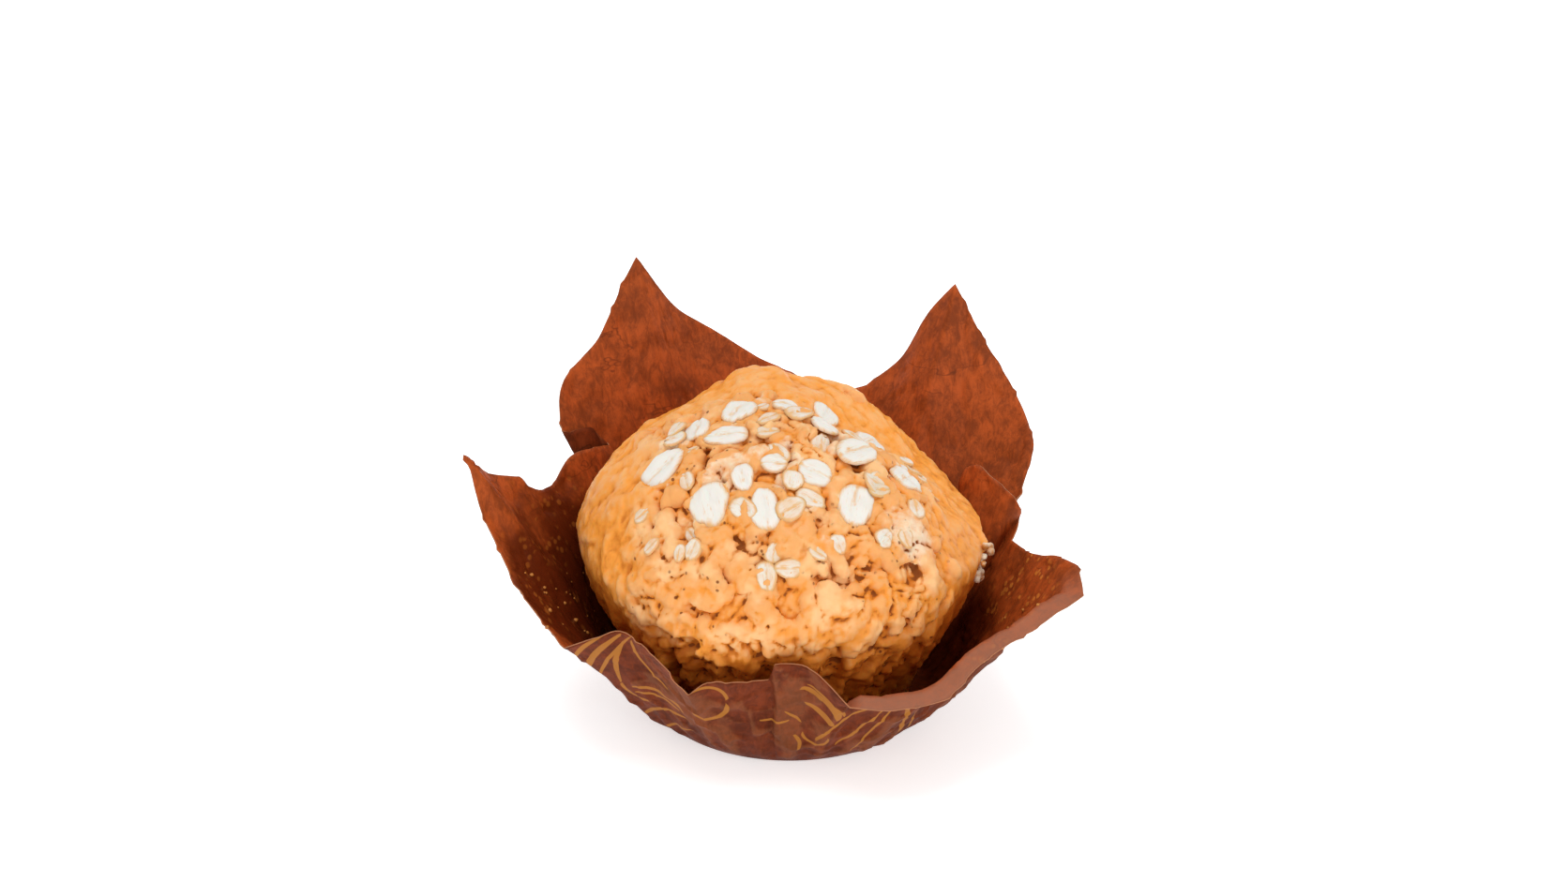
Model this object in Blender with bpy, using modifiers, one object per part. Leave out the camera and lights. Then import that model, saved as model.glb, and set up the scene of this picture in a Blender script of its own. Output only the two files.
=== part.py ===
"""Oat muffin in an opened parchment tulip case.

The muffin stands on the case's round floor. The case is one square sheet pressed round the muffin's
foot: its four corners stand up as petals, and its sides gather into folds between them. The front
side has been pulled down and its edge turned out. Rolled oat flakes lie on the crown.

Lengths below are in millimetres and angles in degrees, counted anticlockwise from +X seen from above.
The front is -Y, and the origin is the middle of the floor, on the surface that the case stands on.
"""

import math

import bmesh
import bpy
from mathutils import Matrix, Vector, noise

MM = 0.001

# ---------------------------------------------------------------- driving dimensions
PAPER = 0.5
FLOOR_RADIUS = 27.0
MARGIN = 4.0
BELLY = 2.5
RIM_STEP = 5.0
WALL_LEVELS = (0.0, 0.1, 0.22, 0.36, 0.52, 0.68, 0.84, 1.0)

AXIS_SHIFT = -1.6
CROWN_RADIUS = 38.7
CROWN_TOP = 61.0
DOME_POWER = 1.75
DOME_RINGS = 14
# Towards this angle the crown slopes down straighter, by this much off the power.
SLOPE_ANGLE = 12
SLOPE_SPREAD = 45
SLOPE_POWER_DROP = 0.68
CROWN_FADE = 6.0
FLUTES = 36
FLUTE_DEPTH = 0.55
FLUTE_FOOT = 6.0
FLUTE_TOP = 33.0
FLUTE_FADE = 8.0
UNEVEN_HEIGHT = 0.9
UNEVEN_SPREAD = 17.0
MUFFIN_SEGMENTS = 2 * FLUTES

FLAKE_THICKNESS = 1.1
FLAKE_LIFT = 0.45
FLAKE_SEGMENTS = 14
FLAKE_RINGS = 6
FLAKE_TAPER = 0.12
CREASE_DEPTH = 0.3
CREASE_WIDTH = 0.22
SLOPE_REACH = 3.0
SHARP_ANGLE = 50

# The rim of the case, anticlockwise from the left petal's tip. Each run is one smooth edge between two
# sharp corners, and starts where the last one ends. Its foot is the angle on the floor's edge that the
# run's end comes down to. Points are (angle, reach from the axis, height).
RIM_RUNS = (
    # left petal's front edge, down to the valley
    dict(foot=-143, points=((-167, 59.5, 46.5), (-163, 57.5, 41.5), (-156.5, 55.5, 35.5), (-143, 52, 27))),
    # hump in front on the left
    dict(foot=-114, points=((-135, 50, 31.5), (-129, 47.5, 33.5), (-120, 45, 27.5), (-114.5, 44, 22.5))),
    # middle panel of the front
    dict(foot=-96, points=((-110, 44, 25.5), (-104, 43.5, 26), (-95.5, 40, 25.5))),
    # step out to the next panel
    dict(foot=-93, points=((-93.5, 43.5, 31),)),
    dict(foot=-77, points=((-86, 43, 30), (-81.5, 45, 27.5), (-77, 48, 23.5))),
    # turned-out edge, up to the right petal's blunt tip
    dict(foot=-26, points=((-68, 51, 23), (-58, 52.5, 24), (-48, 53, 29), (-35, 57.5, 34), (-27, 61, 36))),
    dict(foot=-21, points=((-21, 57.5, 38.5),)),
    # right petal's back edge
    dict(foot=10, points=((-14, 52, 36), (-7, 48.5, 32.5), (2, 45.5, 29.5), (10, 44, 28.5))),
    # rounded flap on the right, which folds back behind itself
    dict(
        foot=24,
        points=((18.5, 47, 29), (18.5, 46, 33.5), (25.5, 43, 37), (31, 42, 37.5), (35, 41.5, 35.5)),
    ),
    dict(foot=28, points=((27.5, 49.5, 27.5),)),
    # right back petal
    dict(
        foot=56,
        points=((31.5, 54.5, 30), (34, 58.5, 36.5), (41.5, 61, 43.5), (49, 60.5, 52.5), (56, 59.5, 64)),
    ),
    dict(foot=76, points=((61, 58, 57), (65.5, 55.5, 47.5), (73, 54, 40.5))),
    # shallow fold behind the crown
    dict(foot=80, points=((79, 50.5, 39.5),)),
    # left back petal
    dict(foot=122, points=((94.5, 50, 46), (107, 54, 53), (115, 55.5, 59), (122, 57.5, 70))),
    dict(foot=146, points=((133, 54.5, 57.5), (144, 54.5, 51), (148, 53, 45.5), (151, 51, 43.5))),
    # fold on the left, which goes in behind the crown and comes back in front of itself
    dict(foot=150, points=((150, 49.6, 43.2),)),
    dict(foot=155, points=((144.5, 47.8, 42.8), (141, 46.2, 38.8))),
    dict(foot=159, points=((142, 44.9, 38.8),)),
    dict(foot=171, points=((149, 45.5, 40.5), (156, 46.8, 41), (164, 47.5, 38))),
    # small fold in the left petal
    dict(foot=175, points=((171, 48, 39.5), (174, 50, 41.5), (176, 51.5, 44.5))),
    # left petal's back edge
    dict(foot=191, points=((178, 53.5, 45.5), (182, 56.5, 48), (187, 59, 52.5), (191, 61.5, 57))),
)
# The rim's margin is turned outwards, away from the wall's own slope, by these angles.
TURN_OUT = ((-181, 0), (-79, 0), (-74, 60), (-29, 50), (-20, 0), (181, 0))

# The muffin's side from its foot to the crown's widest ring: (radius, height).
SIDE = (
    (23.2, 0.8),
    (24.6, 2.5),
    (26.2, 6.5),
    (28.6, 11.5),
    (31.6, 17.5),
    (34.6, 23.0),
    (37.4, 28.5),
    (38.7, 34.0),
)
# Swellings and hollows of the crown: (angle, distance from the muffin's axis, height added, width).
LUMPS = (
    (105, 18, 3.8, 9.0),
    (62, 24, 2.4, 7.0),
    (45, 27, 3.0, 6.0),
    (182, 35, 1.6, 9.0),
    (205, 24, 0.8, 11.0),
    (262, 15, 1.0, 9.0),
    (330, 17, 1.2, 8.0),
)

# Rolled oat flakes: (angle, distance from the muffin's axis, heading of the long side, length, width).
FLAKES = (
    (240.5, 26.2, 87, 10.0, 7.8),
    (263.5, 25.8, 96, 9.0, 5.8),
    (301, 26.0, 90, 10.4, 6.9),
    (208, 24.4, 38, 10.0, 7.4),
    (251, 21.0, 95, 6.6, 4.2),
    (288, 19.3, 158, 6.8, 6.4),
    (322, 17.2, 45, 10.6, 6.6),
    (338, 24.6, 60, 8.5, 7.0),
    (325, 9.4, 125, 6.8, 5.0),
    (357, 21.3, 60, 7.5, 6.0),
    (18, 17.2, 50, 8.0, 6.2),
    (223, 13.8, 170, 9.0, 5.4),
    (197, 16.0, 80, 7.0, 5.2),
    (196, 8.2, 60, 8.4, 6.6),
    (266, 18.0, 0, 5.2, 4.2),
    (30, 9.2, 80, 7.2, 5.8),
    (300, 1.2, 10, 5.6, 4.4),
)

PAPER_BROWN = (0.24, 0.075, 0.028, 1)
CRUST_GOLD = (0.72, 0.38, 0.13, 1)
OAT_CREAM = (0.86, 0.76, 0.58, 1)


def clear_scene():
    for obj in list(bpy.data.objects):
        bpy.data.objects.remove(obj)


def material(name, colour, roughness):
    made = bpy.data.materials.new(name)
    made.use_nodes = True
    shader = made.node_tree.nodes["Principled BSDF"]
    shader.inputs["Base Color"].default_value = colour
    shader.inputs["Roughness"].default_value = roughness
    return made


def add_object(name, mesh, finish, collection):
    made = bpy.data.objects.new(name, mesh)
    mesh.materials.append(finish)
    mesh.shade_smooth()
    mesh.set_sharp_from_angle(angle=math.radians(SHARP_ANGLE))
    collection.objects.link(made)
    return made


def polar(angle, radius, height):
    turn = math.radians(angle)
    return Vector((radius * math.cos(turn), radius * math.sin(turn), height))


def on_muffin(angle, radius, height):
    """A point given round the muffin's own axis."""
    return polar(angle, radius, height) + Vector((AXIS_SHIFT, 0, 0))


def between(table, key):
    """The value at key of a table of (key, value) pairs, on straight lines between them."""
    for (low, at_low), (high, at_high) in zip(table, table[1:]):
        if key <= high:
            return at_low + (at_high - at_low) * max(0.0, key - low) / (high - low)
    return table[-1][1]


def catmull_rom(before, start, end, after, share):
    """A point on the smooth curve from start to end."""
    square, cube = share * share, share**3
    return 0.5 * (
        2 * start
        + (end - before) * share
        + (2 * before - 5 * start + 4 * end - after) * square
        + (3 * start - before - 3 * end + after) * cube
    )


def smooth_path(points, step):
    """Points about one step apart on a smooth curve through the given (angle, reach, height, foot) points."""
    ends = [points[0] * 2 - points[1], *points, points[-1] * 2 - points[-2]]
    path = []
    for before, start, end, after in zip(ends, ends[1:], ends[2:], ends[3:]):
        length = (polar(*end[:3]) - polar(*start[:3])).length
        pieces = max(1, round(length / step))
        path += [catmull_rom(before, start, end, after, n / pieces) for n in range(pieces)]
    return path


def rim_stations():
    """Rim samples round the whole case, each a Vector of (angle, reach, height, foot angle)."""
    last = RIM_RUNS[-1]
    start = Vector((*last["points"][-1], last["foot"])) - Vector((360, 0, 0, 360))
    stations = []
    for run in RIM_RUNS:
        count = len(run["points"])
        feet = [start[3] + (run["foot"] - start[3]) * (n + 1) / count for n in range(count)]
        points = [start, *(Vector((*point, foot)) for point, foot in zip(run["points"], feet))]
        stations += smooth_path(points, RIM_STEP)
        start = points[-1]
    return stations


def wall_column(station):
    """The paper's points from the floor's edge up to the rim, at one place round the case."""
    angle, reach, height, foot_angle = station
    slope = math.atan2(height, reach - FLOOR_RADIUS)
    margin_slope = slope - math.radians(between(TURN_OUT, angle))
    fold_reach = reach - MARGIN * math.cos(margin_slope)
    fold_height = height - MARGIN * math.sin(margin_slope)
    column = []
    for level in WALL_LEVELS:
        bulge = BELLY * 4 * level * (1 - level) ** 3
        radius = FLOOR_RADIUS + (fold_reach - FLOOR_RADIUS) * level + bulge
        column.append(polar(foot_angle + (angle - foot_angle) * level, radius, fold_height * level))
    column.append(polar(angle, reach, height))
    return column


def build_case(collection):
    """A loft from the round floor to the petalled rim, given its thickness by Solidify."""
    cage = bmesh.new()
    columns = [[cage.verts.new(point * MM) for point in wall_column(station)] for station in rim_stations()]
    for column, following in zip(columns, columns[1:] + columns[:1]):
        for n in range(len(column) - 1):
            cage.faces.new((column[n], following[n], following[n + 1], column[n + 1]))
    hub = cage.verts.new((0, 0, 0))
    for column, following in zip(columns, columns[1:] + columns[:1]):
        cage.faces.new((hub, following[0], column[0]))
    mesh = bpy.data.meshes.new("case")
    cage.to_mesh(mesh)
    cage.free()
    case = add_object("case", mesh, material("parchment", PAPER_BROWN, 0.6), collection)
    thickness = case.modifiers.new("paper", "SOLIDIFY")
    thickness.thickness = PAPER * MM
    thickness.offset = -1
    return case


def dome_height(angle, radius):
    """Height of the plain crown round its axis, before its swellings."""
    off = (angle - SLOPE_ANGLE + 180) % 360 - 180
    power = DOME_POWER - SLOPE_POWER_DROP * math.exp(-((off / SLOPE_SPREAD) ** 2))
    share = min(1.0, radius / CROWN_RADIUS)
    rise = CROWN_TOP - SIDE[-1][1]
    return SIDE[-1][1] + rise * (1 - share**power) ** (1 / power)


def swelling(point):
    """Height that the crown's lumps add over a point of the plan."""
    total = 0.0
    for angle, distance, height, width in LUMPS:
        gap = (on_muffin(angle, distance, 0).xy - point.xy).length
        total += height * math.exp(-((gap / width) ** 2))
    return total


def flute(angle, height):
    """How far the side stands out at a flute, fading out at the crown and at the foot."""
    fade = min(1.0, height / FLUTE_FOOT) * max(0.0, min(1.0, (FLUTE_TOP - height) / FLUTE_FADE))
    return FLUTE_DEPTH * fade * math.cos(math.radians(angle * FLUTES))


def unevenness(point):
    """Broad, shallow irregularity of the baked shape."""
    return UNEVEN_HEIGHT * noise.noise(Vector(point) / UNEVEN_SPREAD + Vector((3.1, 7.7, 1.3)))


def crown_point(angle, radius):
    plain = on_muffin(angle, radius, dome_height(angle, radius))
    fade = min(1.0, (CROWN_RADIUS - radius) / CROWN_FADE)
    plain.z += (swelling(plain) + unevenness(plain)) * fade
    return plain


def muffin_rings():
    """Closed rings of points from the foot to just under the crown's top."""
    rings = []
    for radius, height in SIDE:
        angles = [360 * n / MUFFIN_SEGMENTS for n in range(MUFFIN_SEGMENTS)]
        rings.append([on_muffin(a, radius + flute(a, height), height) for a in angles])
    for step in range(1, DOME_RINGS):
        radius = CROWN_RADIUS * math.cos(math.radians(90 * step / DOME_RINGS))
        rings.append([crown_point(360 * n / MUFFIN_SEGMENTS, radius) for n in range(MUFFIN_SEGMENTS)])
    return rings


def build_muffin(collection):
    """A loft from the fluted side to the lumpy crown, closed at the foot and at the top."""
    cage = bmesh.new()
    rings = [[cage.verts.new(point * MM) for point in ring] for ring in muffin_rings()]
    for low, high in zip(rings, rings[1:]):
        for n in range(MUFFIN_SEGMENTS):
            m = (n + 1) % MUFFIN_SEGMENTS
            cage.faces.new((low[n], low[m], high[m], high[n]))
    cage.faces.new(reversed(rings[0]))
    top = cage.verts.new(crown_point(0, 0) * MM)
    for n in range(MUFFIN_SEGMENTS):
        cage.faces.new((rings[-1][n], rings[-1][(n + 1) % MUFFIN_SEGMENTS], top))
    mesh = bpy.data.meshes.new("muffin")
    cage.to_mesh(mesh)
    cage.free()
    return add_object("muffin", mesh, material("crust", CRUST_GOLD, 0.7), collection)


def crown_normal(angle, radius):
    """Upward direction square to the crown, from points either side."""
    outward = crown_point(angle, radius + SLOPE_REACH) - crown_point(angle, max(0.0, radius - SLOPE_REACH))
    spread = math.degrees(SLOPE_REACH / max(radius, SLOPE_REACH))
    sideways = crown_point(angle + spread, radius) - crown_point(angle - spread, radius)
    return outward.cross(sideways).normalized()


def flake_mesh(length, width):
    """A rolled oat: a flattened oval with a shallow crease along its upper side."""
    cage = bmesh.new()
    bmesh.ops.create_uvsphere(cage, u_segments=FLAKE_SEGMENTS, v_segments=FLAKE_RINGS, radius=1)
    for vertex in cage.verts:
        x, y, z = vertex.co
        crease = CREASE_DEPTH * math.exp(-((y / CREASE_WIDTH) ** 2)) * max(0.0, z)
        taper = 1 - FLAKE_TAPER * x
        vertex.co = Vector((x * length / 2, y * taper * width / 2, (z - crease) * FLAKE_THICKNESS / 2)) * MM
    mesh = bpy.data.meshes.new("oat_flake")
    cage.to_mesh(mesh)
    cage.free()
    return mesh


def build_flake(number, flake, finish, collection):
    angle, radius, heading, length, width = flake
    seat = crown_point(angle, radius)
    up = crown_normal(angle, radius)
    along = polar(heading, 1, 0)
    along = (along - up * along.dot(up)).normalized()
    across = up.cross(along)
    made = add_object(f"oat_flake_{number:02d}", flake_mesh(length, width), finish, collection)
    turn = Matrix((along, across, up)).transposed().to_4x4()
    lift = FLAKE_THICKNESS / 2 + FLAKE_LIFT
    made.matrix_world = Matrix.Translation((seat + up * lift) * MM) @ turn
    return made


def main():
    clear_scene()
    collection = bpy.data.collections.new("muffin_in_tulip_case")
    bpy.context.scene.collection.children.link(collection)
    build_case(collection)
    build_muffin(collection)
    oat = material("rolled_oat", OAT_CREAM, 0.75)
    for number, flake in enumerate(FLAKES, start=1):
        build_flake(number, flake, oat, collection)


main()
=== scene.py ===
"""Finish of an oat muffin in an opened parchment tulip case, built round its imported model.

The crumb, the paper case and the oat flakes are modelled here over the plain solids of the frame. Shapes
are worked out in millimetres, in the frame's axes: +Z up, and the front towards -Y. Angles are in
degrees, anticlockwise from +X seen from above.
"""

import math
import random

import bmesh
import bpy
import numpy as np
from bpy.props import FloatProperty, FloatVectorProperty, IntProperty, PointerProperty
from mathutils import Matrix, Vector, noise
from mathutils.bvhtree import BVHTree


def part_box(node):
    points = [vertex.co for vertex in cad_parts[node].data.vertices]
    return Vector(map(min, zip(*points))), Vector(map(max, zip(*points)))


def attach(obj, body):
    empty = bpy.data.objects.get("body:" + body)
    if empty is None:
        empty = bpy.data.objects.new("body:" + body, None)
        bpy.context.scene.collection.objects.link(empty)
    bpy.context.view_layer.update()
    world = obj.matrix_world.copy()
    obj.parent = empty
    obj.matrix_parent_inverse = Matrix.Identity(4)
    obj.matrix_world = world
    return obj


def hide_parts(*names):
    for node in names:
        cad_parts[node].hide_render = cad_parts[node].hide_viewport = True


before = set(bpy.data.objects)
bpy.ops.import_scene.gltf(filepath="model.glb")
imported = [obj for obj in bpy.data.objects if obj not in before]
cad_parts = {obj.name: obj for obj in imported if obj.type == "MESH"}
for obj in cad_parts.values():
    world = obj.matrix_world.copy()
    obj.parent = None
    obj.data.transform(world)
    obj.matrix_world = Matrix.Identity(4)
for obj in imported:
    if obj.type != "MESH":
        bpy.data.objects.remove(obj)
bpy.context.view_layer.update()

bl_info = {
    "name": "Oat Muffin",
    "version": (1, 0, 0),
    "blender": (4, 5, 0),
    "location": "View3D > Sidebar > Muffin",
    "description": "Builds the crumb, paper case and oat flakes of a muffin round its packed model",
    "category": "Object",
}

MM = 0.001
TABLE_REACH = 4000.0
CAMERA_AIM = (-1.06, 0, 53.9)

# ---------------------------------------------------------------- what the frame says
MUFFIN_LOW, MUFFIN_HIGH = (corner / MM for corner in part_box("muffin"))
AXIS = (MUFFIN_LOW + MUFFIN_HIGH) / 2
CROWN_RADIUS = (MUFFIN_HIGH.x - MUFFIN_LOW.x) / 2
FLAKE_NODES = sorted(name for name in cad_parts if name.startswith("oat_flake"))

# ---------------------------------------------------------------- the paper case, as the model has it
FLOOR_RADIUS = 27.0
SHEET_RADIUS = 40.0
MARGIN = 4.0
BELLY = 2.5
SHEET_INSET = 0.2
RIM_STEP = 1.0
WALL_ROWS = 40
MARGIN_ROWS = 5
FLOOR_RINGS = 10

# The rim, anticlockwise from the left petal's tip. Each run is one smooth edge between two sharp corners.
# Its foot is the angle on the floor's edge that the run's end comes down to. Points are (angle, reach,
# height).
RIM_RUNS = (
    dict(foot=-143, points=((-167, 59.5, 46.5), (-163, 57.5, 41.5), (-156.5, 55.5, 35.5), (-143, 52, 27))),
    dict(foot=-114, points=((-135, 50, 31.5), (-129, 47.5, 33.5), (-120, 45, 27.5), (-114.5, 44, 22.5))),
    dict(foot=-96, points=((-110, 44, 25.5), (-104, 43.5, 26), (-95.5, 40, 25.5))),
    dict(foot=-93, points=((-93.5, 43.5, 31),)),
    dict(foot=-77, points=((-86, 43, 30), (-81.5, 45, 27.5), (-77, 48, 23.5))),
    dict(foot=-26, points=((-68, 51, 23), (-58, 52.5, 24), (-48, 53, 29), (-35, 57.5, 34), (-27, 61, 36))),
    dict(foot=-21, points=((-21, 57.5, 38.5),)),
    dict(foot=10, points=((-14, 52, 36), (-7, 48.5, 32.5), (2, 45.5, 29.5), (10, 44, 28.5))),
    dict(
        foot=24,
        points=((18.5, 47, 29), (18.5, 46, 33.5), (25.5, 43, 37), (31, 42, 37.5), (35, 41.5, 35.5)),
    ),
    dict(foot=28, points=((27.5, 49.5, 27.5),)),
    dict(
        foot=56,
        points=((31.5, 54.5, 30), (34, 58.5, 36.5), (41.5, 61, 43.5), (49, 60.5, 52.5), (56, 59.5, 64)),
    ),
    dict(foot=76, points=((61, 58, 57), (65.5, 55.5, 47.5), (73, 54, 40.5))),
    dict(foot=80, points=((79, 50.5, 39.5),)),
    dict(foot=122, points=((94.5, 50, 46), (107, 54, 53), (115, 55.5, 59), (122, 57.5, 70))),
    dict(foot=146, points=((133, 54.5, 57.5), (144, 54.5, 51), (148, 53, 45.5), (151, 51, 43.5))),
    dict(foot=150, points=((150, 49.6, 43.2),)),
    dict(foot=155, points=((144.5, 47.8, 42.8), (141, 46.2, 38.8))),
    dict(foot=159, points=((142, 44.9, 38.8),)),
    dict(foot=171, points=((149, 45.5, 40.5), (156, 46.8, 41), (164, 47.5, 38))),
    dict(foot=175, points=((171, 48, 39.5), (174, 50, 41.5), (176, 51.5, 44.5))),
    dict(foot=191, points=((178, 53.5, 45.5), (182, 56.5, 48), (187, 59, 52.5), (191, 61.5, 57))),
)
# The margin is turned outwards from the wall's slope by these angles round the case.
TURN_OUT = ((-181, 0), (-79, 0), (-74, 60), (-29, 50), (-20, 0), (181, 0))

# Printed strokes on the outside: arcs through three points of the unrolled paper, and half their width.
# Points are (across from the front, up from the floor's edge).
PRINT_STROKES = (
    # fan on the hump
    ((-37.5, 32.5), (-33.5, 37.3), (-30.0, 39.5), 0.34),
    ((-37.5, 28.0), (-32.5, 35.0), (-28.0, 38.5), 0.48),
    ((-37.0, 25.5), (-32.0, 32.0), (-27.5, 37.0), 0.38),
    ((-28.5, 36.0), (-32.0, 30.0), (-34.5, 22.5), 0.38),
    ((-34.5, 22.5), (-34.5, 18.0), (-30.5, 16.5), 0.38),
    ((-33.0, 21.0), (-28.5, 20.8), (-22.5, 15.5), 0.45),
    ((-33.5, 19.0), (-29.5, 18.8), (-24.0, 15.0), 0.30),
    ((-37.5, 9.0), (-30.0, 13.5), (-22.5, 12.5), 0.40),
    ((-35.0, 3.5), (-29.0, 8.0), (-23.5, 7.5), 0.32),
    ((-26.5, 38.0), (-27.3, 29.5), (-23.5, 22.0), 0.24),
    # loop on the middle panel
    ((-18.0, 28.0), (-13.5, 29.0), (-12.0, 24.0), 0.36),
    ((-12.0, 24.0), (-14.0, 18.5), (-20.5, 19.0), 0.40),
    ((-6.5, 16.5), (-3.0, 15.8), (0.0, 17.2), 0.26),
    # feathers on the next panel
    ((1.5, 26.5), (5.0, 26.8), (8.5, 20.5), 0.60),
    ((2.5, 28.5), (7.0, 27.0), (10.0, 21.0), 0.24),
    ((3.0, 22.0), (5.5, 21.5), (7.5, 18.5), 0.80),
    ((-1.0, 19.2), (0.5, 18.3), (2.0, 16.0), 0.30),
    ((3.0, 13.5), (4.5, 10.0), (7.5, 14.0), 0.30),
    ((0.5, 12.0), (2.2, 9.5), (1.5, 6.5), 0.34),
    # long stripes on the right
    ((5.5, 10.5), (9.5, 19.5), (15.5, 26.5), 0.30),
    ((10.0, 9.5), (13.8, 16.5), (16.5, 25.0), 0.36),
    ((14.0, 6.0), (16.5, 14.0), (18.0, 24.5), 0.26),
    ((26.5, 4.0), (24.5, 13.0), (20.5, 24.5), 0.70),
    ((31.0, 6.5), (28.5, 14.0), (23.5, 24.5), 0.34),
)
# Edges of pressed folds, where the paper on the right lies over the paper on the left: (across, step).
FOLD_EDGES = ((-72, 0.5), (-19.5, 0.75), (-3.2, 0.75), (19.0, 0.4), (41.0, 0.5), (83.0, 0.5), (118.0, 0.5))


# ---------------------------------------------------------------- numbers and meshes
def smoothstep(low, high, value):
    """0 at low and 1 at high with soft ends, in either direction."""
    share = np.clip((np.asarray(value, float) - low) / (high - low), 0, 1)
    return share * share * (3 - 2 * share)


def fractal(points, size, seed, octaves=3):
    """Soft noise of about -1 to 1 whose largest lumps are about size across."""
    shift = Vector((seed * 13.1, seed * 7.7, seed * 5.3))
    return np.array([noise.fractal(Vector(p) / size + shift, 1.0, 2.0, octaves) for p in points])


def cells(points, size, seed):
    """Distances to the nearest and second nearest centre of a field of cells of about that size."""
    shift = Vector((seed * 13.1, seed * 7.7, seed * 5.3))
    return np.array([noise.voronoi(Vector(p) / size + shift)[0][:2] for p in points])


def polar(angle, radius, height):
    turn = math.radians(angle)
    return Vector((radius * math.cos(turn), radius * math.sin(turn), height))


def between(table, key):
    """The value at key of a table of (key, value) pairs, on straight lines between them."""
    for (low, at_low), (high, at_high) in zip(table, table[1:]):
        if key <= high:
            return at_low + (at_high - at_low) * max(0.0, key - low) / (high - low)
    return table[-1][1]


def points_of(mesh):
    """The mesh's points in millimetres, as rows of three."""
    flat = np.empty(len(mesh.vertices) * 3)
    mesh.vertices.foreach_get("co", flat)
    return flat.reshape(-1, 3) / MM


def set_points(mesh, points):
    mesh.vertices.foreach_set("co", (points * MM).astype(np.float32).ravel())
    mesh.update()


def normals_of(mesh):
    flat = np.empty(len(mesh.vertices) * 3)
    mesh.vertices.foreach_get("normal", flat)
    return flat.reshape(-1, 3)


def edges_of(mesh):
    flat = np.empty(len(mesh.edges) * 2, np.int64)
    mesh.edges.foreach_get("vertices", flat)
    return flat.reshape(-1, 2)


def relaxed(values, edges, times, share=0.5):
    """Values drawn towards the mean of their neighbours, that many times."""
    ends = edges.ravel()
    others = edges[:, ::-1].ravel()
    count = np.maximum(np.bincount(ends, minlength=len(values)), 1)
    values = values.copy()
    for _ in range(times):
        for column in range(values.shape[1]):
            total = np.bincount(ends, weights=values[others, column], minlength=len(values))
            values[:, column] += share * (total / count - values[:, column])
    return values


def give(mesh, name, values):
    """Stores one number, or three, for each point under a name that materials read."""
    values = np.asarray(values, np.float32)
    kind = "FLOAT" if values.ndim == 1 else "FLOAT_VECTOR"
    attribute = mesh.attributes.new(name, kind, "POINT")
    attribute.data.foreach_set("value" if values.ndim == 1 else "vector", values.ravel())


def mesh_from(name, points, faces):
    """A mesh from points in millimetres."""
    mesh = bpy.data.meshes.new(name)
    mesh.from_pydata((np.asarray(points) * MM).tolist(), [], [tuple(f) for f in faces])
    mesh.update()
    return mesh


def place(name, mesh, *materials):
    """Adds a mesh as a smooth object, with these materials after those that it has."""
    made = bpy.data.objects.new(name, mesh)
    for finish in materials:
        mesh.materials.append(finish)
    mesh.shade_smooth()
    bpy.context.scene.collection.objects.link(made)
    return made


def evaluated_mesh(name, mesh, modifiers):
    """The mesh after these modifiers, each a type and its settings."""
    holder = bpy.data.objects.new(name + "_holder", mesh)
    bpy.context.scene.collection.objects.link(holder)
    for kind, settings in modifiers:
        modifier = holder.modifiers.new(kind.lower(), kind)
        for key, value in settings.items():
            setattr(modifier, key, value)
    graph = bpy.context.evaluated_depsgraph_get()
    made = bpy.data.meshes.new_from_object(holder.evaluated_get(graph))
    made.name = name
    bpy.data.objects.remove(holder)
    return made


def tree_of(mesh):
    return BVHTree.FromPolygons([v.co / MM for v in mesh.vertices], [p.vertices[:] for p in mesh.polygons])


# ---------------------------------------------------------------- shader maths
class Wire:
    """A shader socket that Python's operators add Math nodes to."""

    def __init__(self, shader, socket):
        self.shader = shader
        self.socket = socket

    def math(self, operation, *others):
        inputs = {0: self, **dict(enumerate(others, 1))}
        return self.shader.node("ShaderNodeMath", dict(operation=operation), inputs)

    def __add__(self, other):
        return self.math("ADD", other)

    __radd__ = __add__

    def __mul__(self, other):
        return self.math("MULTIPLY", other)

    __rmul__ = __mul__

    def __sub__(self, other):
        return self.math("SUBTRACT", other)

    def __rsub__(self, other):
        return self * -1 + other

    def __truediv__(self, other):
        return self.math("DIVIDE", other)

    def __rtruediv__(self, other):
        return self.math("POWER", -1) * other

    def __pow__(self, other):
        return self.math("POWER", other)

    def __abs__(self):
        return self.math("ABSOLUTE")

    def most(self, other):
        return self.math("MAXIMUM", other)

    def rise(self, low, high):
        """0 at low and 1 at high, with soft ends. With high below low it falls."""
        flip = high < low
        settings = dict(interpolation_type="SMOOTHSTEP")
        ends = {"From Min": min(low, high), "From Max": max(low, high)}
        ends.update({"To Min": int(flip), "To Max": int(not flip)})
        return self.shader.node("ShaderNodeMapRange", settings, {"Value": self, **ends})


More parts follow.
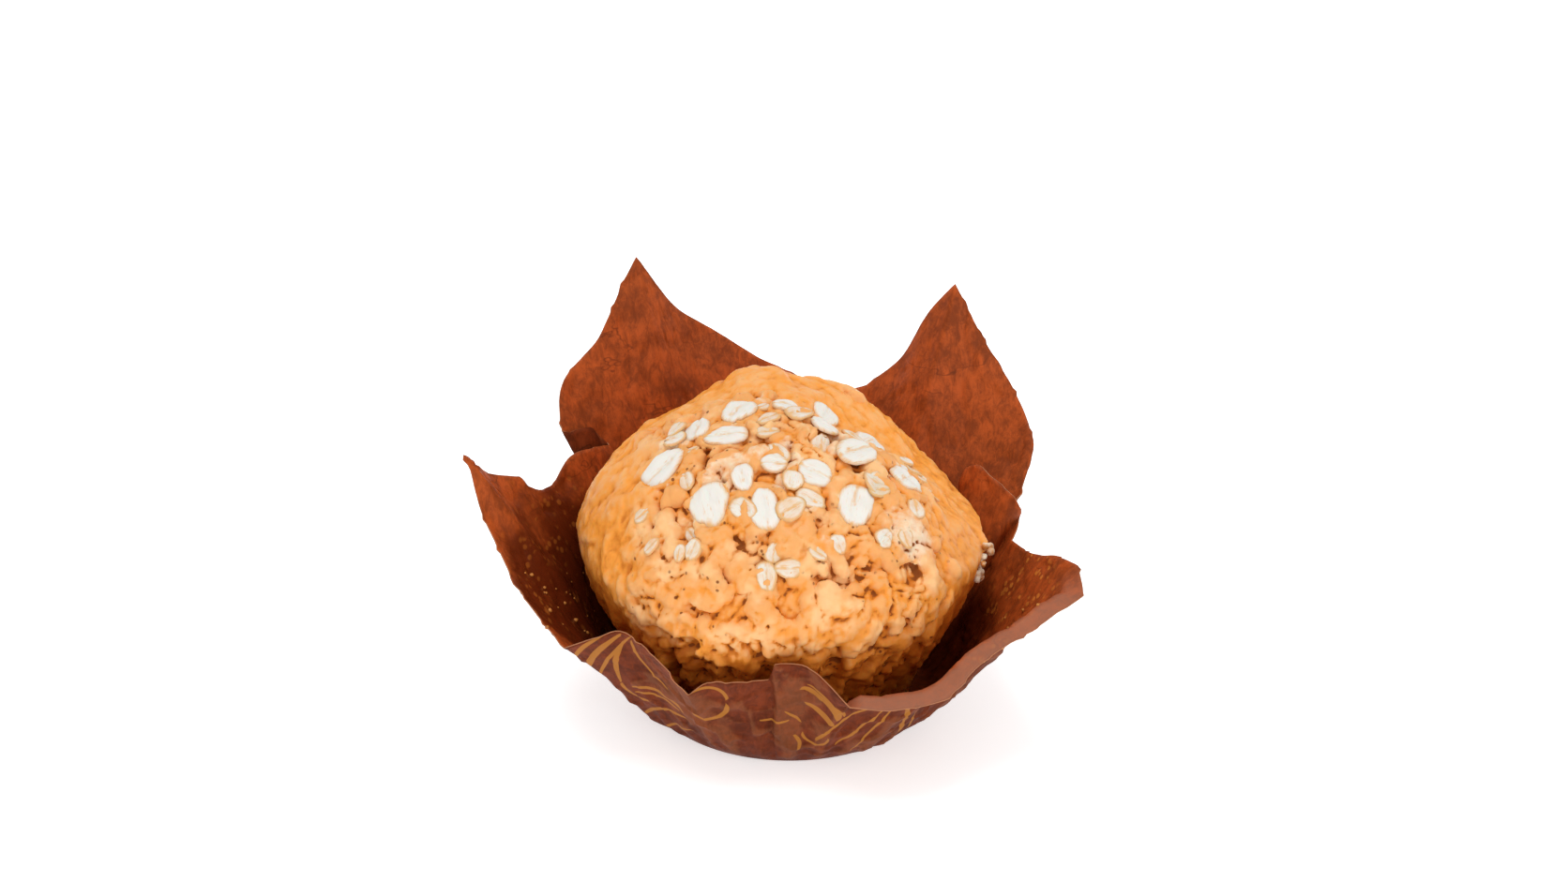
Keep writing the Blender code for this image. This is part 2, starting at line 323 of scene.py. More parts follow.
class Shader:
    """A Principled material and the nodes that feed it."""

    def __init__(self, name, **values):
        self.material = bpy.data.materials.new(name)
        self.material.use_nodes = True
        self.tree = self.material.node_tree
        self.surface = self.tree.nodes["Principled BSDF"]
        for socket, value in values.items():
            self.surface.inputs[socket.replace("_", " ")].default_value = value

    def node(self, kind, settings, inputs, output=0):
        """Adds a node: its settings first, then the values or wires of its sockets. Returns one output."""
        made = self.tree.nodes.new(kind)
        for key, value in settings.items():
            setattr(made, key, value)
        for key, value in inputs.items():
            if isinstance(value, Wire):
                self.tree.links.new(value.socket, made.inputs[key])
            else:
                made.inputs[key].default_value = value
        return Wire(self, made.outputs[output])

    def feed(self, socket, wire):
        self.tree.links.new(wire.socket, self.surface.inputs[socket])

    def attribute(self, name, output="Fac"):
        return self.node("ShaderNodeAttribute", dict(attribute_name=name), {}, output)

    def place(self):
        return self.node("ShaderNodeTexCoord", {}, {}, "Object")

    def stretched(self, vector, x, y, z):
        return self.node("ShaderNodeVectorMath", dict(operation="MULTIPLY"), {0: vector, 1: (x, y, z)})

    def parts(self, vector):
        return [self.node("ShaderNodeSeparateXYZ", {}, {0: vector}, n) for n in range(3)]

    def noise(self, vector, size, detail=3, roughness=0.55, distortion=0.0):
        """Noise of 0 to 1 with lumps of about that size, in the vector's own unit."""
        values = {"Vector": vector, "Scale": 1 / size, "Detail": detail, "Roughness": roughness}
        return self.node("ShaderNodeTexNoise", {}, {**values, "Distortion": distortion})

    def cells(self, vector, size, feature="F1"):
        return self.node("ShaderNodeTexVoronoi", dict(feature=feature), {"Vector": vector, "Scale": 1 / size})

    def mix(self, share, low, high, blend="MIX"):
        """A colour between low and high, each an RGB colour or a wire."""
        settings = dict(data_type="RGBA", blend_type=blend, clamp_factor=True)
        low, high = (value if isinstance(value, Wire) else (*value[:3], 1) for value in (low, high))
        return self.node("ShaderNodeMix", settings, {0: share, 6: low, 7: high}, 2)

    def bump(self, height, distance, strength=1.0):
        """Feeds Normal with a height in metres' share of distance."""
        values = {"Height": height, "Distance": distance, "Strength": strength}
        self.feed("Normal", self.node("ShaderNodeBump", {}, values))


# ---------------------------------------------------------------- settings
def colour(name, description, default):
    shown = dict(subtype="COLOR", min=0, max=1)
    return FloatVectorProperty(name=name, description=description, default=default, **shown)


def length(name, description, default):
    shown = dict(unit="LENGTH", precision=5, min=0)
    return FloatProperty(name=name, description=description, default=default, **shown)


class CrumbSettings(bpy.types.PropertyGroup):
    grain: length("Grain", "Size of the smallest modelled crumb detail", 0.00053)
    softness: IntProperty(
        name="Softness", description="How many times the clumps are smoothed together", default=3
    )
    recess: length("Recess", "How far the core lies under the clumps", 0.0009)
    # Raised crumb reaches the pale colour partly through painted light from its relief
    pale: colour("Pale crumb", "Raised crumb on the open top", (0.87, 0.42, 0.14))
    gold: colour("Golden crust", "Baked crust and the fluted side", (0.89, 0.33, 0.045))
    # The browned colour also paints shade in the crumb's hollows and over the torn crumb
    brown: colour("Browned crust", "Where the crust baked darkest", (0.58, 0.155, 0.012))
    # Painted shade at the bottoms of cracks and pits
    cavity_shade: colour("Cavities", "Bottoms of cracks and pits", (0.20, 0.05, 0.009))
    tender: colour("Tender crumb", "Peach patches where the top tore open", (0.90, 0.55, 0.26))
    cream: colour("Oat paste", "Soft pale oat in the batter", (0.86, 0.76, 0.58))


class CaseSettings(bpy.types.PropertyGroup):
    thickness: length("Thickness", "Thickness of the paper", 0.00022)
    crumple: length("Crumple", "Depth of the paper's broad waves", 0.0009)
    outside: colour("Outside", "Dry outer side of the paper", (0.135, 0.023, 0.005))
    inside: colour("Inside", "Inner side of the paper", (0.36, 0.066, 0.0105))
    turned: colour("Turned edge", "Drier edge of the paper that is turned out", (0.31, 0.125, 0.072))
    # Fat darkens the paper; the same colour paints shade on the left inner wall beside the muffin
    grease_and_shade: colour("Grease", "Paper darkened by fat", (0.10, 0.013, 0.003))
    drip: colour("Fat spots", "Small shining spots of fat", (0.62, 0.20, 0.03))
    edge: colour("Cut edge", "Cut edge of the paper", (0.40, 0.15, 0.06))
    print_gold: colour("Print", "Printed strokes on the outside", (0.40, 0.15, 0.022))


class OatSettings(bpy.types.PropertyGroup):
    thickness: length("Flake thickness", "Thickness of a rolled flake", 0.0011)
    broken: IntProperty(
        name="Broken flakes", description="Small pieces of flake baked into the crumb", default=80
    )
    crumbs: IntProperty(name="Crumbs", description="Loose crumbs that stick to the paper", default=70)
    cream: colour("Flake", "Face of a flake", (0.78, 0.745, 0.68))
    tan: colour("Streaks", "Streaks and the rim of a flake", (0.74, 0.42, 0.17))


class StageSettings(bpy.types.PropertyGroup):
    distance: length("Camera distance", "From the point that the camera looks at", 0.696)
    elevation: FloatProperty(
        name="Elevation",
        description="Camera's angle above the floor",
        default=math.radians(27),
        subtype="ANGLE",
    )
    lens: FloatProperty(name="Lens", description="Focal length in millimetres", default=85)
    key: FloatProperty(name="Key light", description="Strength of the broad lamp overhead", default=1.2)
    key_spread: FloatProperty(name="Key spread", description="Angle that the lamp overhead fills",
                              default=math.radians(34), subtype="ANGLE")
    fill: FloatProperty(
        name="Fill light", description="Power of the lamp in front", default=0.6, unit="POWER"
    )
    surround: FloatProperty(name="Surround", description="Strength of the white surround", default=0.68)
    table_glow: FloatProperty(
        name="Table glow", description="Light that the white table gives off", default=0.56
    )


# ---------------------------------------------------------------- the muffin's crumb
CROWN_EDGE = 34.0
FLUTES = 36
# What the crown is built up from: torn plates, clumps and crumbs in the open part, and low swellings in
# the crust.
# Sizes are half lengths, and each stands proud of the core by that much.
LUMP_KINDS = (
    dict(
        torn=True, count=170, size=(2.6, 5.0), wide=(0.5, 0.8),
        thick=(0.8, 1.3), tilt=0.38, proud=(0.5, 1.25),
    ),
    dict(
        torn=True, count=240, size=(1.3, 2.4), wide=(0.6, 1.0),
        thick=(0.8, 1.4), tilt=0.6, proud=(0.4, 1.2),
    ),
    dict(
        torn=True, count=160, size=(0.8, 1.3), wide=(0.7, 1.0),
        thick=(0.6, 0.9), tilt=0.6, proud=(0.7, 1.5),
    ),
    dict(
        torn=False, count=150, size=(2.5, 6.0), wide=(0.4, 0.9),
        thick=(0.9, 1.4), tilt=0.12, proud=(0.15, 0.55),
    ),
)
OPEN_WIDTH = 28.0
OPEN_BACK = 7.0


# Pale patches of oat in the torn crumb: (x, y, z, width).
PASTE_SPOTS = ((20.5, -21.0, 44.0, 7.0), (4.6, -27.0, 42.0, 4.0), (13.0, -14.0, 50.0, 3.5))


def open_crumb(points):
    """1 where the crown is torn open into crumb, at the front and in the middle, and 0 on smooth crust."""
    wobble = 4.0 * fractal(points, 11, 1)
    across = smoothstep(OPEN_WIDTH + 3, OPEN_WIDTH - 3, np.abs(points[:, 0] - AXIS.x - 1) + wobble)
    return across * smoothstep(OPEN_BACK, OPEN_BACK - 7, points[:, 1] + wobble)


def smooth_core():
    """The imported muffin, welded and rounded."""
    cage = bmesh.new()
    cage.from_mesh(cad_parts["muffin"].data)
    bmesh.ops.remove_doubles(cage, verts=cage.verts, dist=1e-6)
    mesh = bpy.data.meshes.new("core")
    cage.to_mesh(mesh)
    cage.free()
    return evaluated_mesh("core", mesh, [("SUBSURF", dict(levels=2, render_levels=2))])


def ball(subdivisions):
    """Points and faces of a unit sphere."""
    cage = bmesh.new()
    bmesh.ops.create_icosphere(cage, subdivisions=subdivisions, radius=1)
    points = np.array([v.co for v in cage.verts])
    faces = np.array([[v.index for v in f.verts] for f in cage.faces])
    cage.free()
    return points, faces


def turned(normal, tilt, spin):
    """A rotation whose third axis leans by tilt from the normal, spun round it."""
    start = Vector(normal).to_track_quat("Z", "Y").to_matrix()
    return start @ Matrix.Rotation(spin, 3, "Z") @ Matrix.Rotation(tilt, 3, "X")


def lump_batch(core, rng):
    """Clumps and torn plates of batter, half sunk in the core, as one set of points and faces."""
    points, normals = points_of(core), normals_of(core)
    faces = np.array([p.vertices[:3] for p in core.polygons])
    middles = points[faces].mean(axis=1)
    areas = np.array([p.area for p in core.polygons])
    opened = open_crumb(middles)
    unit, unit_faces = ball(2)
    all_points, all_faces = [], []
    for kind in LUMP_KINDS:
        zone = opened if kind["torn"] else 1 - opened
        weight = areas * zone * smoothstep(6, 34, middles[:, 2])
        for pick in rng.choices(range(len(faces)), weights=weight.tolist(), k=kind["count"]):
            normal = Vector(normals[faces[pick][0]])
            on_side = middles[pick, 2] < CROWN_EDGE - 4
            spin = rng.gauss(math.pi / 2, 0.5) if on_side else rng.uniform(0, math.tau)
            turn = turned(normal, rng.uniform(-1, 1) * kind["tilt"], spin)
            size = rng.uniform(*kind["size"]) * (0.75 if on_side else 1.0)
            thick = rng.uniform(*kind["thick"])
            radii = np.array([size, size * rng.uniform(*kind["wide"]), thick])
            shift = Vector((rng.uniform(0, 50), rng.uniform(0, 50), rng.uniform(0, 50)))
            swell = np.array([1 + 0.5 * noise.noise(Vector(p) * 1.3 + shift) for p in unit])
            body = (unit * radii * swell[:, None]) @ np.array(turn.transposed())
            lift = rng.uniform(*kind["proud"]) * (0.45 if on_side else 1.0) - thick
            all_faces.append(unit_faces + len(all_points) * len(unit))
            all_points.append(body + middles[pick] + np.array(normal) * lift)
    return np.concatenate(all_points), np.concatenate(all_faces)


def flake_frame(node):
    """Centre, axes (long, wide, up) and half sizes of a flake's solid, in millimetres."""
    points = points_of(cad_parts[node].data)
    centre = (points.min(axis=0) + points.max(axis=0)) / 2
    middle = points.mean(axis=0)
    _, _, axes = np.linalg.svd(points - middle, full_matrices=False)
    if axes[2][2] < 0:
        axes[2] = -axes[2]
    axes[1] = np.cross(axes[2], axes[0])
    local = (points - middle) @ axes.T
    centre = middle + ((local.min(axis=0) + local.max(axis=0)) / 2) @ axes
    return centre, axes, (local.max(axis=0) - local.min(axis=0)) / 2


def seat_flakes(points):
    """Presses the crumb down under each flake, and lets it stand a little round the flake's edge."""
    points = points.copy()
    for node in FLAKE_NODES:
        centre, axes, half = flake_frame(node)
        local = (points - centre) @ axes.T
        spread = np.sqrt((local[:, 0] / half[0]) ** 2 + (local[:, 1] / half[1]) ** 2)
        top = -half[2] + 0.1 + smoothstep(0.95, 1.35, spread) * 2.2
        over = np.where((spread < 1.35) & (np.abs(local[:, 2]) < 4), np.maximum(local[:, 2] - top, 0), 0)
        points -= over[:, None] * axes[2]
    return points


def crumb_relief(points):
    """Height added to the crumb along its normals, over the clumps."""
    opened = open_crumb(points)
    height = points[:, 2]
    angle = np.arctan2(points[:, 1], points[:, 0] - AXIS.x)
    crown = smoothstep(CROWN_EDGE - 11, CROWN_EDGE - 3, height)
    drawn = points * (1, 1, 0.75)
    folds = np.abs(fractal(drawn, 5.0, 2, 2))
    wrinkles = np.abs(fractal(drawn, 2.3, 3, 2))
    cracks = cells(points + 1.2 * np.stack([fractal(points, 4, n) for n in (4, 5, 6)], axis=1), 5.5, 7)
    split = smoothstep(0.24, 0.0, cracks[:, 1] - cracks[:, 0])
    split *= smoothstep(0.1, 0.4, fractal(points, 10, 8, 2))
    pits = smoothstep(0.26, 0.1, cells(points, 2.3, 9)[:, 0])
    pits *= smoothstep(0.05, 0.3, fractal(points, 7, 10, 2))
    relief = 0.5 * fractal(points, 13, 11, 2)
    relief += (0.6 + 0.8 * opened) * np.minimum(folds, 0.5)
    relief += (0.28 + 0.42 * opened) * np.minimum(wrinkles, 0.5)
    relief += (0.05 + 0.10 * opened) * fractal(points, 1.5, 12, 2)
    relief -= (0.1 + 0.65 * opened) * split
    relief -= (0.1 + 0.45 * opened) * pits
    wave = np.abs(np.sin(angle * FLUTES / 2 + 0.3 * fractal(points, 9, 13, 2)))
    relief += (1 - crown) * smoothstep(1.5, 7, height) * (0.6 - 1.2 * wave) * (0.95 - 0.15 * opened)
    return relief


def browning(points):
    """How dark the crust has baked, from 0 to 1."""
    radius = np.hypot(points[:, 0] - AXIS.x, points[:, 1])
    height = points[:, 2]
    opened = open_crumb(points)
    rim = smoothstep(24, 38, radius) * smoothstep(14, 28, height)
    side = smoothstep(36, 20, height)
    patch = fractal(points, 13, 14, 3)
    back = smoothstep(8, 22, points[:, 1])
    baked = 0.44 + 0.14 * rim + (1.05 - 0.5 * opened) * side + 0.32 * patch + 0.1 * back
    return np.clip(baked * (1 - 0.3 * opened * smoothstep(24, 36, height)), 0, 1.2)


def paste(points):
    """Where soft pale oat shows in the torn crumb, from 0 to 1."""
    field = smoothstep(0.15, 0.45, fractal(points, 6.5, 15, 3)) * smoothstep(44, 52, points[:, 2]) * 0.6
    for *centre, width in PASTE_SPOTS:
        gap = np.linalg.norm(points - centre, axis=1)
        field = np.maximum(field, np.exp(-((gap / width) ** 2)))
    return np.clip(open_crumb(points) * field, 0, 1)


def crumb_mesh(settings):
    """The muffin as clumps of batter merged into its core, with creases, pits and a fluted side."""
    rng = random.Random(11)
    core = smooth_core()
    points = points_of(core)
    opened = open_crumb(points)
    inset = settings.recess / MM * (0.25 + 0.75 * opened) * smoothstep(1, 8, points[:, 2])
    points -= normals_of(core) * inset[:, None]
    lump_points, lump_faces = lump_batch(core, rng)
    core_faces = [tuple(p.vertices) for p in core.polygons]
    faces = core_faces + [tuple(face) for face in lump_faces + len(points)]
    rough = mesh_from("rough", np.concatenate([points, lump_points]), faces)
    remesh = ("REMESH", dict(mode="VOXEL", voxel_size=settings.grain))
    mesh = evaluated_mesh("muffin_crumb", rough, [remesh])
    edges = edges_of(mesh)
    points = relaxed(points_of(mesh), edges, settings.softness)
    set_points(mesh, points)
    points += normals_of(mesh) * crumb_relief(points)[:, None]
    points = seat_flakes(points)
    points[:, 2] = np.maximum(points[:, 2], MUFFIN_LOW.z)
    set_points(mesh, points)
    normals = normals_of(mesh)
    # How far each point stands out from its smoothed surroundings, close by and broadly; the crumb's colour
    # uses these for painted light on raised crumb and painted shade in hollows
    near = ((points - relaxed(points, edges, 6)) * normals).sum(axis=1)
    far = ((points - relaxed(points, edges, 70)) * normals).sum(axis=1)
    give(mesh, "relief_near", near / 0.2)
    give(mesh, "relief_far", far / 0.8)
    give(mesh, "browning", browning(points))
    give(mesh, "paste", paste(points))
    give(mesh, "opened", open_crumb(points))
    return mesh


def crumb_material(settings):
    shader = Shader("baked_crumb", Subsurface_Weight=0.15, Subsurface_Scale=0.002, Specular_IOR_Level=0.15)
    place_at = shader.place()
    near, far = shader.attribute("relief_near"), shader.attribute("relief_far")
    brown, paste_at, opened = (shader.attribute(name) for name in ("browning", "paste", "opened"))
    blotch = shader.noise(place_at, 0.005, 4)
    fleck = shader.noise(place_at, 0.0012, 3)
    mottle = shader.noise(place_at, 0.0026, 3)
    above = shader.parts(place_at)[2].rise(0.024, 0.034)
    baked = brown + (blotch - 0.5) * 0.8 + (mottle - 0.5) * 1.1 + (fleck - 0.5) * 0.25
    # Painted light and shade: raised crumb turns paler and hollows darker, more strongly on the crown
    baked -= (near * 0.35 + far * 0.2) * (above * 0.7 + 0.3)
    body = shader.mix(baked.rise(0.0, 0.6), settings.pale, settings.gold)
    # Browned where the crust baked darkest, and painted shade over all of the torn crumb
    body = shader.mix((baked.rise(0.5, 1.1) * 0.9).most(opened * 0.16), body, settings.brown)
    tender = shader.noise(place_at, 0.009, 3, 0.6).rise(0.48, 0.64) * (opened * 0.7 + 0.1) * above
    body = shader.mix(tender * (1 - baked.rise(0.4, 0.9)), body, settings.tender)
    body = shader.mix((paste_at + (fleck - 0.5) * 0.5).rise(0.35, 0.8) * 0.8, body, settings.cream)
    # Painted shade in hollows: the browned crust colour in them, and the cavity colour at the bottoms of the
    # deepest
    hollow_shade = (near * -0.5 - far * 0.5 + (fleck - 0.5) * 0.3).rise(0.0, 1.0)
    body = shader.mix(hollow_shade * 0.9, body, settings.brown)
    body = shader.mix(hollow_shade.rise(0.65, 1.0) * 0.8, body, settings.cavity_shade)
    # Tiny pits: dented by the bump, and painted dark as their shade
    dots = shader.cells(place_at, 0.0019)
    gate = shader.noise(place_at, 0.007, 2).rise(0.5, 0.58) * (opened * 0.85 + 0.15)
    pit = dots.rise(0.2, 0.12) * gate
    body = shader.mix(pit * 0.85, body, settings.cavity_shade)
    shader.feed("Base Color", body)
    shader.feed("Roughness", 0.6 - shader.noise(place_at, 0.008, 2) * 0.25 + hollow_shade * 0.2)
    shader.feed("Coat Weight", shader.noise(place_at, 0.006, 2).rise(0.4, 0.65) * 0.2 * (1 - hollow_shade) * above)
    shader.surface.inputs["Coat Roughness"].default_value = 0.3
    shader.bump(fleck * 0.5 + shader.noise(place_at, 0.0006, 2) * 0.12 - pit, 0.00035, 0.65)
    return shader.material


# ---------------------------------------------------------------- the paper case
def catmull_rom(before, start, end, after, share):
    """A point on the smooth curve from start to end."""
    square, cube = share * share, share**3
    return 0.5 * (
        2 * start
        + (end - before) * share
        + (2 * before - 5 * start + 4 * end - after) * square
        + (3 * start - before - 3 * end + after) * cube
    )


def smooth_path(points, step):
    """Points about one step apart on a smooth curve through the given (angle, reach, height, foot) points."""
    ends = [points[0] * 2 - points[1], *points, points[-1] * 2 - points[-2]]
    path = []
    for before, start, end, after in zip(ends, ends[1:], ends[2:], ends[3:]):
        span = (polar(*end[:3]) - polar(*start[:3])).length
        pieces = max(2, round(span / step))
        path += [catmull_rom(before, start, end, after, n / pieces) for n in range(pieces)]
    return path


def rim_stations():
    """Rim samples round the whole case, each a Vector of (angle, reach, height, foot angle)."""
    last = RIM_RUNS[-1]
    start = Vector((*last["points"][-1], last["foot"])) - Vector((360, 0, 0, 360))
    stations = []
    for run in RIM_RUNS:
        count = len(run["points"])
        feet = [start[3] + (run["foot"] - start[3]) * (n + 1) / count for n in range(count)]
        points = [start, *(Vector((*point, foot)) for point, foot in zip(run["points"], feet))]
        stations += smooth_path(points, RIM_STEP)
        start = points[-1]
    return stations


def wall_column(station):
    """The paper's points from the floor's edge up to the rim, each with its angle round the case."""
    angle, reach, height, foot_angle = station
    slope = math.atan2(height, reach - FLOOR_RADIUS)
    turn = math.radians(between(TURN_OUT, angle))
    fold_reach = reach - MARGIN * math.cos(slope - turn)
    fold_height = height - MARGIN * math.sin(slope - turn)
    column = []
    for n in range(WALL_ROWS + 1):
        level = n / WALL_ROWS
        bulge = BELLY * 4 * level * (1 - level) ** 3
        radius = FLOOR_RADIUS + (fold_reach - FLOOR_RADIUS) * level + bulge - SHEET_INSET
        column.append((foot_angle + (angle - foot_angle) * level, radius, fold_height * level))
    for n in range(1, MARGIN_ROWS + 1):
        share = n / MARGIN_ROWS
        radius = fold_reach + (reach - fold_reach) * share - SHEET_INSET
        column.append((angle, radius, fold_height + (height - fold_height) * share))
    return column


def crumpled(points, across, depth):
    """How far the paper stands outwards: waves, creases up the wall, fold edges and pleats at the foot."""
    angle = np.arctan2(points[:, 1], points[:, 0])
    height = points[:, 2]
    waves = fractal(points * (1, 1, 0.35), 15, 21, 2)
    creases = np.abs(fractal(points * (1, 1, 0.35), 9, 22, 2))
    crossing = np.abs(fractal(points * (0.5, 0.5, 1), 8, 23, 2))
    pleats = np.cos(angle * 40 + 3.0 * fractal(points, 18, 24, 1)) * smoothstep(18, 1, height)
    stand = depth * waves + 0.55 * depth * smoothstep(0.12, 0.0, creases)
    stand += 0.35 * depth * smoothstep(0.08, 0.0, crossing) + 0.45 * pleats
    stand += 0.12 * fractal(points, 3.0, 25, 2)
    for edge, step in FOLD_EDGES:
        gap = across - edge + 1.5 * fractal(points, 16, 26, 1)
        stand += step * smoothstep(-0.5, 0.5, gap) * np.exp(-np.maximum(gap, 0) / 5)
    return stand * smoothstep(0.0, 3.0, height)


def case_mesh(settings, finishes):
    """The paper: a round floor, and a wall that follows the rim's stations. Each side has its finish."""
    columns = [wall_column(station) for station in rim_stations()]
    rows = len(columns[0])
    count = len(columns)
    flat = np.array([row for column in columns for row in column])
    points = np.array([polar(*row) for row in flat])
    across = np.radians((flat[:, 0] + 270) % 360 - 180) * SHEET_RADIUS
    stand = crumpled(points, across, settings.crumple / MM)
    outward = points * (1, 1, 0)
    outward /= np.linalg.norm(outward, axis=1)[:, None]
    along = np.linalg.norm(np.diff(points.reshape(count, rows, 3), axis=1), axis=2).cumsum(axis=1)
    along = np.concatenate([np.zeros((count, 1)), along], axis=1).ravel()
    level = np.tile(np.arange(rows), count)
    turned_out = smoothstep(WALL_ROWS - 1, WALL_ROWS + 1, level)
    turned_out *= np.array([between(TURN_OUT, angle) for angle in flat[:, 0]]) / 60
    points = points + outward * stand[:, None]
    points[:, 2] = np.maximum(points[:, 2], 0.0)
    sheet = np.stack([across, along, stand], axis=1)
    floor_points, floor_sheet = [], []
    for ring in range(1, FLOOR_RINGS):
        radius = (FLOOR_RADIUS - SHEET_INSET) * ring / FLOOR_RINGS
        floor_points += [polar(column[0][0], radius, 0) for column in columns]
        turns = [math.radians(column[0][0] + 90) for column in columns]
        floor_sheet += [(turn * SHEET_RADIUS, radius - FLOOR_RADIUS, 0) for turn in turns]
    hub = count * rows + len(floor_points)
    points = np.concatenate([points, np.array(floor_points), [(0, 0, 0)]])
    sheet = np.concatenate([sheet, np.array(floor_sheet), [(0, -FLOOR_RADIUS, 0)]])
    faces = []
    for n in range(count):
        m = (n + 1) % count
        faces += [(n * rows + k, m * rows + k, m * rows + k + 1, n * rows + k + 1) for k in range(rows - 1)]
        rings = [hub] + [count * rows + ring * count for ring in range(FLOOR_RINGS - 1)]
        faces.append((hub, rings[1] + m, rings[1] + n))
        for low, high in zip(rings[1:], rings[2:]):
            faces.append((low + n, low + m, high + m, high + n))
        faces.append((rings[-1] + n, rings[-1] + m, m * rows, n * rows))
    turned_out = np.concatenate([turned_out, np.zeros(len(points) - len(turned_out))])
    mesh = mesh_from("case_sheet", points, faces)
    fix = bmesh.new()
    fix.from_mesh(mesh)
    bmesh.ops.recalc_face_normals(fix, faces=fix.faces)
    bottom = min(fix.faces, key=lambda face: face.calc_center_median().length)
    if bottom.normal.z > 0:
        bmesh.ops.reverse_faces(fix, faces=fix.faces)
    fix.to_mesh(mesh)
    fix.free()
    give(mesh, "sheet", sheet)
    give(mesh, "turned_out", turned_out)
    for finish in finishes:
        mesh.materials.append(finish)
    solid = dict(thickness=settings.thickness, offset=-1, material_offset=1, material_offset_rim=2)
    return evaluated_mesh("paper_case", mesh, [("SOLIDIFY", solid)])


def mottled_paper(shader, dark, light):
    """Colour of pulpy paper with fibres and painted shade along fine crease lines, and the patterns of its
    fibres and clouds.
    """
    place_at = shader.place()
    cloud = shader.noise(place_at, 0.006, 6, 0.7)
    fibre = shader.noise(shader.stretched(place_at, 1, 1, 0.22), 0.0013, 5, 0.75, 0.8)
    mixed = shader.mix((cloud * 0.5 + fibre * 0.5).rise(0.38, 0.63), dark, light)
    bend = shader.noise(shader.stretched(place_at, 1, 1, 2.2), 0.03, 4, 0.6)
    gate = shader.noise(place_at, 0.012, 2).rise(0.45, 0.6)
    # Painted shade along fine crease lines
    crease = abs(bend - 0.5).rise(0.009, 0.0) * gate
    return shader.mix(crease * 0.6, mixed, shaded(dark, 0.5)), fibre, cloud


def shaded(tint, factor):
    return [min(1.0, channel * factor) for channel in tint]


def circle_through(start, middle, end):
    """Centre and radius of the circle through three points of a plane."""
    a, b = Vector(middle) - Vector(start), Vector(end) - Vector(start)
    turn = 2 * (a.x * b.y - a.y * b.x)
    x = (b.y * a.length_squared - a.y * b.length_squared) / turn
    y = (a.x * b.length_squared - b.x * a.length_squared) / turn
    return Vector(start) + Vector((x, y)), math.hypot(x, y)


def outside_material(settings):
    shader = Shader("paper_outside", Specular_IOR_Level=0.06)
    tint = settings.outside
    body, fibre, cloud = mottled_paper(shader, shaded(tint, 0.62), shaded(tint, 1.35))
    across, along, stand = shader.parts(shader.attribute("sheet", "Vector"))
    worn = (stand + (fibre - 0.5) * 0.3).rise(0.45, 0.85)
    body = shader.mix(worn * 0.2, body, settings.edge)
    strokes = 0
    for start, middle, end, half in PRINT_STROKES:
        centre, radius = circle_through(start, middle, end)
        chord = (Vector(start) + Vector(end)) / 2
        inward = (Vector(end) - Vector(start)).orthogonal().normalized()
        inward *= math.copysign(1, inward.dot(Vector(middle) - chord))
        bow = inward.dot(Vector(middle) - chord)
        ahead = across * inward.x + along * inward.y - inward.dot(chord)
        dx, dy = across - centre.x, along - centre.y
        off = abs((dx * dx + dy * dy) ** 0.5 - radius)
        strokes = (ahead.rise(0, bow * 0.55) * (half * 1.2 + 0.08) - off).rise(0.0, 0.12).most(strokes)
    front = across.rise(-42, -38) * across.rise(46, 42) * shader.parts(shader.place())[1].rise(0.0, -0.004)
    strokes = strokes * front * (fibre.rise(0.2, 0.45) * 0.25 + 0.75)
    body = shader.mix(strokes * 0.85, body, settings.print_gold)
    shader.feed("Base Color", body)
    shader.feed("Roughness", 0.66 - cloud * 0.2)
    shader.bump(fibre, 0.00012, 0.5)
    return shader.material


def inside_material(settings):
    shader = Shader("paper_inside", Specular_IOR_Level=0.15)
    tint = settings.inside
    body, fibre, cloud = mottled_paper(shader, shaded(tint, 0.6), shaded(tint, 1.35))
    place_at = shader.place()
    across, along, _ = shader.parts(shader.attribute("sheet", "Vector"))
    wet = shader.noise(place_at, 0.011, 4, 0.6)
    # Fat in patches, darker towards the bottom of the wall, and painted shade on the left inner wall beside
    # the muffin
    low = along.rise(36, 14)
    left = across.rise(-36, -44) * across.rise(-84, -74) * along.rise(58, 38)
    grease_shade_mask = (low * 0.55 + left * 0.75 + (wet - 0.5) * 1.5).rise(0.2, 0.75)
    body = shader.mix(grease_shade_mask * 0.9, body, settings.grease_and_shade)
    right = across.rise(24, 32) * across.rise(70, 60) * along.rise(12, 18) * along.rise(46, 38)
    speckle = shader.noise(place_at, 0.0042, 2).rise(0.45, 0.6) * (right + left * 0.35)
    drips = shader.cells(place_at, 0.0017).rise(0.42, 0.26) * speckle
    body = shader.mix(drips * 0.85, body, settings.drip)
    body = shader.mix(shader.attribute("turned_out") * (0.95 - fibre * 0.3), body, settings.turned)
    shader.feed("Base Color", body)
    shader.feed("Roughness", 0.62 - grease_shade_mask * 0.25 - cloud * 0.1)
    shader.bump(fibre * 0.6 + wet * 0.4 + drips, 0.00015, 0.5)
    return shader.material


def edge_material(settings):
    shader = Shader("paper_edge", Roughness=0.8)
    grain = shader.noise(shader.place(), 0.0006, 2)
    shader.feed("Base Color", shader.mix(grain, shaded(settings.edge, 0.7), shaded(settings.edge, 1.2)))
    return shader.material


